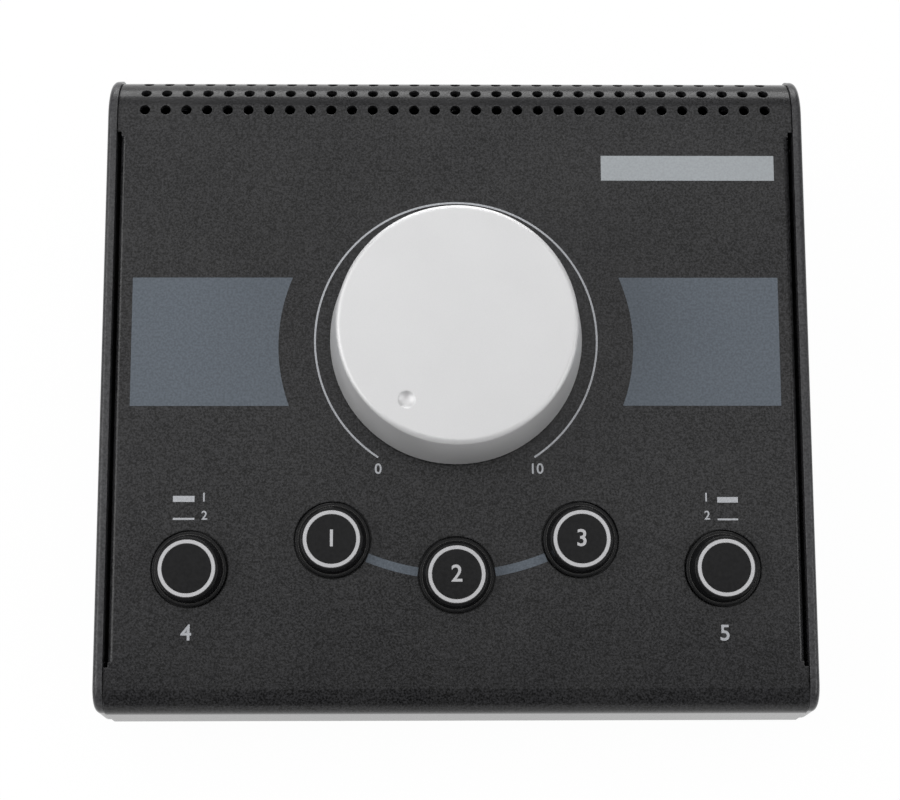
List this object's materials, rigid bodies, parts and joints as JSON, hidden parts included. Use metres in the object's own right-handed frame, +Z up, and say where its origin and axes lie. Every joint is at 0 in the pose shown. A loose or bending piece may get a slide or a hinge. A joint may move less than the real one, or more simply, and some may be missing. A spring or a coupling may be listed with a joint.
{
  "type": "studio monitor controller",
  "caption": "Sloped desktop audio controller in folded charcoal steel with side cheeks, a large aluminium volume knob, round push buttons, vent rows and rear jacks.",
  "frame": {"origin": "middle of the object's footprint at table level", "axes": "+X to the user's right, +Y from the user toward the jacks, +Z up"},
  "size_m": [0.142, 0.1322, 0.0626],
  "materials": {
    "panel_paint": "fine textured charcoal powder coat",
    "cheek_paint": "satin charcoal powder coat",
    "tray_paint": "textured black powder coat",
    "knob_aluminium": "fine bead-blasted, clear anodised",
    "cap_black": "satin gloss",
    "ring_white": "satin",
    "moulded_black": "moulded",
    "foot_rubber": "matt",
    "black_steel": "black oxide",
    "bare_steel": "plain",
    "nickel": "bright nickel plate",
    "board_green": "solder mask over glass fibre",
    "ribbon_grey": "flexible insulation"
  },
  "bodies": {
    "case": {"top_cover": "panel_paint", "base_tray": "tray_paint", "rear_panel": "tray_paint", "left_cheek": "cheek_paint", "right_cheek": "cheek_paint", "pot_housing": "bare_steel", "pot_washer": "nickel", "pot_nut": "nickel", "control_board": "board_green", "jack_board": "board_green", "board_standoffs": "nickel", "ribbon_headers": "moulded_black", "ribbon_cable": "ribbon_grey", "mini_jack": "moulded_black", "jack_nuts": "nickel", "mini_jack_nut": "nickel", "cheek_screws": "black_steel", "base_screws": "black_steel", "rear_screws": "black_steel", "board_screws": "bare_steel", "front_left_foot": "foot_rubber", "front_right_foot": "foot_rubber", "rear_left_foot": "foot_rubber", "rear_right_foot": "foot_rubber", "jack_1": "moulded_black", "jack_2": "moulded_black", "jack_3": "moulded_black", "jack_4": "moulded_black", "jack_5": "moulded_black", "jack_6": "moulded_black", "jack_7": "moulded_black", "jack_8": "moulded_black", "mono_switch": "moulded_black", "mute_switch": "moulded_black", "dim_switch": "moulded_black", "source_select_switch": "moulded_black", "monitor_select_switch": "moulded_black"},
    "knob": {"volume_knob": "knob_aluminium", "knob_set_screw": "black_steel", "pot_shaft": "bare_steel"},
    "mono_button": {"mono_cap": "cap_black", "mono_ring": "ring_white", "mono_plunger": "moulded_black"},
    "mute_button": {"mute_cap": "cap_black", "mute_ring": "ring_white", "mute_plunger": "moulded_black"},
    "dim_button": {"dim_cap": "cap_black", "dim_ring": "ring_white", "dim_plunger": "moulded_black"},
    "source_select_button": {"source_select_cap": "cap_black", "source_select_ring": "ring_white", "source_select_plunger": "moulded_black"},
    "monitor_select_button": {"monitor_select_cap": "cap_black", "monitor_select_ring": "ring_white", "monitor_select_plunger": "moulded_black"}
  },
  "joints": [
    {"name": "volume_turn", "type": "hinge", "parent": "case", "child": "knob", "pos_m": [0, 0.00605, 0.0407], "axis": [0, -0.1736, 0.9848], "range_deg": [-293.4, 0]},
    {"name": "mono_press", "type": "slide", "parent": "case", "child": "mono_button", "axis": [0, -0.1736, 0.9848], "range_m": [-0.0025, 0], "stiffness_N_per_m": 600, "springref_m": 0.001},
    {"name": "mute_press", "type": "slide", "parent": "case", "child": "mute_button", "axis": [0, -0.1736, 0.9848], "range_m": [-0.0025, 0], "stiffness_N_per_m": 600, "springref_m": 0.001},
    {"name": "dim_press", "type": "slide", "parent": "case", "child": "dim_button", "axis": [0, -0.1736, 0.9848], "range_m": [-0.0025, 0], "stiffness_N_per_m": 600, "springref_m": 0.001},
    {"name": "source_select_press", "type": "slide", "parent": "case", "child": "source_select_button", "axis": [0, -0.1736, 0.9848], "range_m": [-0.0025, 0], "stiffness_N_per_m": 600, "springref_m": 0.001},
    {"name": "monitor_select_press", "type": "slide", "parent": "case", "child": "monitor_select_button", "axis": [0, -0.1736, 0.9848], "range_m": [-0.0025, 0], "stiffness_N_per_m": 600, "springref_m": 0.001}
  ]
}
